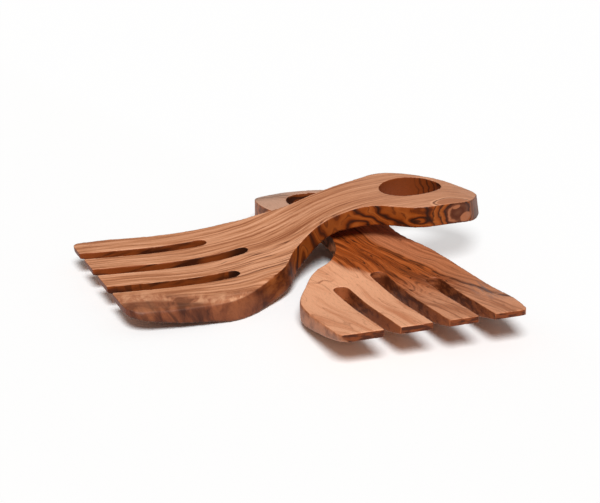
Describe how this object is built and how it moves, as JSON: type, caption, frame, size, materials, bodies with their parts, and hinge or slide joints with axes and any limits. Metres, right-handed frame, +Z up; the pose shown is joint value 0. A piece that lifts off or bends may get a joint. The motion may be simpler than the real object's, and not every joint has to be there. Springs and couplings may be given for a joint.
{
  "type": "salad servers",
  "caption": "Pair of mirror-image hand-shaped wooden salad servers with slotted tines, a narrow neck and a finger hole in each handle, one lying across the other.",
  "frame": {"origin": "bottom centre of the box around the pair, on the table", "axes": "+Z up; +X along the upper server from its tine tips to its handle, seen from above; the lower server's handle points about along +Y"},
  "size_m": [0.1958, 0.1932, 0.0358],
  "materials": {
    "light_olive_wood": "satin",
    "dark_olive_wood": "satin"
  },
  "bodies": {
    "lower": {"lower_server": "light_olive_wood"},
    "upper": {"upper_server": "dark_olive_wood"}
  },
  "joints": [
    {"name": "upper_lift", "type": "slide", "parent": "lower", "child": "upper", "axis": [0, 0, 1], "range_m": [0, 0.08]}
  ]
}
